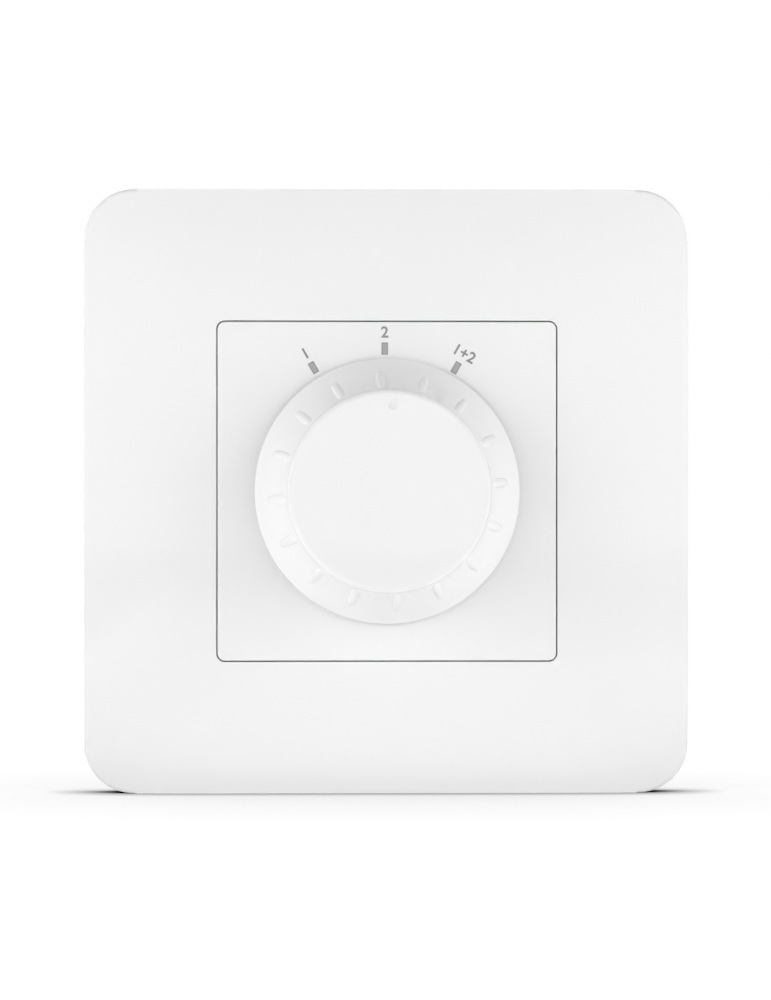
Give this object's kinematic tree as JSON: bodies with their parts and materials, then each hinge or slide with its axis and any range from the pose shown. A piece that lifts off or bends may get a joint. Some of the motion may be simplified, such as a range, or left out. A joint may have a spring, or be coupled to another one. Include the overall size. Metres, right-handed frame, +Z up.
{
  "type": "speaker selector switch",
  "caption": "Flush wall plate with a flared knob that turns a rotary switch, sending a stereo amplifier to one speaker pair, the other, or both.",
  "frame": {"origin": "on the wall's face, on the knob's axis, midway between the fixing slots", "axes": "+X to the right and +Z up as seen from the room, +Y into the wall"},
  "size_m": [0.08, 0.0359, 0.08],
  "materials": {
    "white_gloss": "glossy white moulded plastic",
    "zinc_sheet": "zinc-plated sheet steel",
    "bright_steel": "bright zinc-plated steel",
    "nickel_brass": "nickel-plated brass",
    "spring_steel": "blued spring steel",
    "die_cast": "die-cast metal, as cast",
    "black_plastic": "black moulded plastic",
    "natural_nylon": "natural nylon",
    "contact_metal": "silver-plated brass",
    "board_green": "green solder mask on glass-fibre laminate",
    "terminal_grey": "dark grey polyamide"
  },
  "bodies": {
    "wall_plate": {"cover_frame": "white_gloss", "centre_plate": "white_gloss", "support_frame": "zinc_sheet", "switch_cover": "die_cast", "lock_washer": "bright_steel", "hex_nut": "nickel_brass", "detent_springs": "spring_steel", "switch_housing": "black_plastic", "switch_base": "black_plastic", "fixed_contacts": "contact_metal", "common_contacts": "contact_metal", "switch_screws": "bright_steel", "circuit_board": "board_green", "board_screws": "bright_steel", "input_terminal_housing": "terminal_grey", "input_terminal_pins": "nickel_brass", "output_1_terminal_housing": "terminal_grey", "output_1_terminal_pins": "nickel_brass", "output_2_terminal_housing": "terminal_grey", "output_2_terminal_pins": "nickel_brass"},
    "knob_and_rotor": {"knob": "white_gloss", "knob_clip": "spring_steel", "switch_shaft": "nickel_brass", "shaft_circlip": "spring_steel", "detent_wheel": "natural_nylon", "contact_rotor": "natural_nylon", "wiper_contacts": "contact_metal"},
    "input_clamp_screw_1": {"input_screw_1": "bright_steel"},
    "input_clamp_cage_1": {"input_cage_1": "nickel_brass"},
    "input_clamp_screw_2": {"input_screw_2": "bright_steel"},
    "input_clamp_cage_2": {"input_cage_2": "nickel_brass"},
    "input_clamp_screw_3": {"input_screw_3": "bright_steel"},
    "input_clamp_cage_3": {"input_cage_3": "nickel_brass"},
    "input_clamp_screw_4": {"input_screw_4": "bright_steel"},
    "input_clamp_cage_4": {"input_cage_4": "nickel_brass"},
    "output_1_clamp_screw_1": {"output_1_screw_1": "bright_steel"},
    "output_1_clamp_cage_1": {"output_1_cage_1": "nickel_brass"},
    "output_1_clamp_screw_2": {"output_1_screw_2": "bright_steel"},
    "output_1_clamp_cage_2": {"output_1_cage_2": "nickel_brass"},
    "output_1_clamp_screw_3": {"output_1_screw_3": "bright_steel"},
    "output_1_clamp_cage_3": {"output_1_cage_3": "nickel_brass"},
    "output_1_clamp_screw_4": {"output_1_screw_4": "bright_steel"},
    "output_1_clamp_cage_4": {"output_1_cage_4": "nickel_brass"},
    "output_2_clamp_screw_1": {"output_2_screw_1": "bright_steel"},
    "output_2_clamp_cage_1": {"output_2_cage_1": "nickel_brass"},
    "output_2_clamp_screw_2": {"output_2_screw_2": "bright_steel"},
    "output_2_clamp_cage_2": {"output_2_cage_2": "nickel_brass"},
    "output_2_clamp_screw_3": {"output_2_screw_3": "bright_steel"},
    "output_2_clamp_cage_3": {"output_2_cage_3": "nickel_brass"},
    "output_2_clamp_screw_4": {"output_2_screw_4": "bright_steel"},
    "output_2_clamp_cage_4": {"output_2_cage_4": "nickel_brass"}
  },
  "joints": [
    {"name": "knob_turn", "type": "hinge", "parent": "wall_plate", "child": "knob_and_rotor", "pos_m": [0, 0, 0], "axis": [0, 1, 0], "range_deg": [-30, 30], "deforming": ["detent_springs"]},
    {"name": "input_screw_1_turn", "type": "hinge", "parent": "wall_plate", "child": "input_clamp_screw_1", "pos_m": [-0.0075, 0.013, -0.0165], "axis": [0, -1, 0], "range_deg": [0, 1440]},
    {"name": "input_cage_1_rise", "type": "slide", "parent": "wall_plate", "child": "input_clamp_cage_1", "axis": [0, 1, 0], "range_m": [0, 0.0018]},
    {"name": "input_screw_2_turn", "type": "hinge", "parent": "wall_plate", "child": "input_clamp_screw_2", "pos_m": [-0.0025, 0.013, -0.0165], "axis": [0, -1, 0], "range_deg": [0, 1440]},
    {"name": "input_cage_2_rise", "type": "slide", "parent": "wall_plate", "child": "input_clamp_cage_2", "axis": [0, 1, 0], "range_m": [0, 0.0018]},
    {"name": "input_screw_3_turn", "type": "hinge", "parent": "wall_plate", "child": "input_clamp_screw_3", "pos_m": [0.0025, 0.013, -0.0165], "axis": [0, -1, 0], "range_deg": [0, 1440]},
    {"name": "input_cage_3_rise", "type": "slide", "parent": "wall_plate", "child": "input_clamp_cage_3", "axis": [0, 1, 0], "range_m": [0, 0.0018]},
    {"name": "input_screw_4_turn", "type": "hinge", "parent": "wall_plate", "child": "input_clamp_screw_4", "pos_m": [0.0075, 0.013, -0.0165], "axis": [0, -1, 0], "range_deg": [0, 1440]},
    {"name": "input_cage_4_rise", "type": "slide", "parent": "wall_plate", "child": "input_clamp_cage_4", "axis": [0, 1, 0], "range_m": [0, 0.0018]},
    {"name": "output_1_screw_1_turn", "type": "hinge", "parent": "wall_plate", "child": "output_1_clamp_screw_1", "pos_m": [-0.0165, 0.013, 0.0075], "axis": [0, -1, 0], "range_deg": [0, 1440]},
    {"name": "output_1_cage_1_rise", "type": "slide", "parent": "wall_plate", "child": "output_1_clamp_cage_1", "axis": [0, 1, 0], "range_m": [0, 0.0018]},
    {"name": "output_1_screw_2_turn", "type": "hinge", "parent": "wall_plate", "child": "output_1_clamp_screw_2", "pos_m": [-0.0165, 0.013, 0.0025], "axis": [0, -1, 0], "range_deg": [0, 1440]},
    {"name": "output_1_cage_2_rise", "type": "slide", "parent": "wall_plate", "child": "output_1_clamp_cage_2", "axis": [0, 1, 0], "range_m": [0, 0.0018]},
    {"name": "output_1_screw_3_turn", "type": "hinge", "parent": "wall_plate", "child": "output_1_clamp_screw_3", "pos_m": [-0.0165, 0.013, -0.0025], "axis": [0, -1, 0], "range_deg": [0, 1440]},
    {"name": "output_1_cage_3_rise", "type": "slide", "parent": "wall_plate", "child": "output_1_clamp_cage_3", "axis": [0, 1, 0], "range_m": [0, 0.0018]},
    {"name": "output_1_screw_4_turn", "type": "hinge", "parent": "wall_plate", "child": "output_1_clamp_screw_4", "pos_m": [-0.0165, 0.013, -0.0075], "axis": [0, -1, 0], "range_deg": [0, 1440]},
    {"name": "output_1_cage_4_rise", "type": "slide", "parent": "wall_plate", "child": "output_1_clamp_cage_4", "axis": [0, 1, 0], "range_m": [0, 0.0018]},
    {"name": "output_2_screw_1_turn", "type": "hinge", "parent": "wall_plate", "child": "output_2_clamp_screw_1", "pos_m": [0.0165, 0.013, -0.0075], "axis": [0, -1, 0], "range_deg": [0, 1440]},
    {"name": "output_2_cage_1_rise", "type": "slide", "parent": "wall_plate", "child": "output_2_clamp_cage_1", "axis": [0, 1, 0], "range_m": [0, 0.0018]},
    {"name": "output_2_screw_2_turn", "type": "hinge", "parent": "wall_plate", "child": "output_2_clamp_screw_2", "pos_m": [0.0165, 0.013, -0.0025], "axis": [0, -1, 0], "range_deg": [0, 1440]},
    {"name": "output_2_cage_2_rise", "type": "slide", "parent": "wall_plate", "child": "output_2_clamp_cage_2", "axis": [0, 1, 0], "range_m": [0, 0.0018]},
    {"name": "output_2_screw_3_turn", "type": "hinge", "parent": "wall_plate", "child": "output_2_clamp_screw_3", "pos_m": [0.0165, 0.013, 0.0025], "axis": [0, -1, 0], "range_deg": [0, 1440]},
    {"name": "output_2_cage_3_rise", "type": "slide", "parent": "wall_plate", "child": "output_2_clamp_cage_3", "axis": [0, 1, 0], "range_m": [0, 0.0018]},
    {"name": "output_2_screw_4_turn", "type": "hinge", "parent": "wall_plate", "child": "output_2_clamp_screw_4", "pos_m": [0.0165, 0.013, 0.0075], "axis": [0, -1, 0], "range_deg": [0, 1440]},
    {"name": "output_2_cage_4_rise", "type": "slide", "parent": "wall_plate", "child": "output_2_clamp_cage_4", "axis": [0, 1, 0], "range_m": [0, 0.0018]}
  ],
  "couplings": [
    {"joint": "input_screw_1_turn", "follows": "input_cage_1_rise", "rad_per_m": 13963},
    {"joint": "input_screw_2_turn", "follows": "input_cage_2_rise", "rad_per_m": 13963},
    {"joint": "input_screw_3_turn", "follows": "input_cage_3_rise", "rad_per_m": 13963},
    {"joint": "input_screw_4_turn", "follows": "input_cage_4_rise", "rad_per_m": 13963},
    {"joint": "output_1_screw_1_turn", "follows": "output_1_cage_1_rise", "rad_per_m": 13963},
    {"joint": "output_1_screw_2_turn", "follows": "output_1_cage_2_rise", "rad_per_m": 13963},
    {"joint": "output_1_screw_3_turn", "follows": "output_1_cage_3_rise", "rad_per_m": 13963},
    {"joint": "output_1_screw_4_turn", "follows": "output_1_cage_4_rise", "rad_per_m": 13963},
    {"joint": "output_2_screw_1_turn", "follows": "output_2_cage_1_rise", "rad_per_m": 13963},
    {"joint": "output_2_screw_2_turn", "follows": "output_2_cage_2_rise", "rad_per_m": 13963},
    {"joint": "output_2_screw_3_turn", "follows": "output_2_cage_3_rise", "rad_per_m": 13963},
    {"joint": "output_2_screw_4_turn", "follows": "output_2_cage_4_rise", "rad_per_m": 13963}
  ]
}
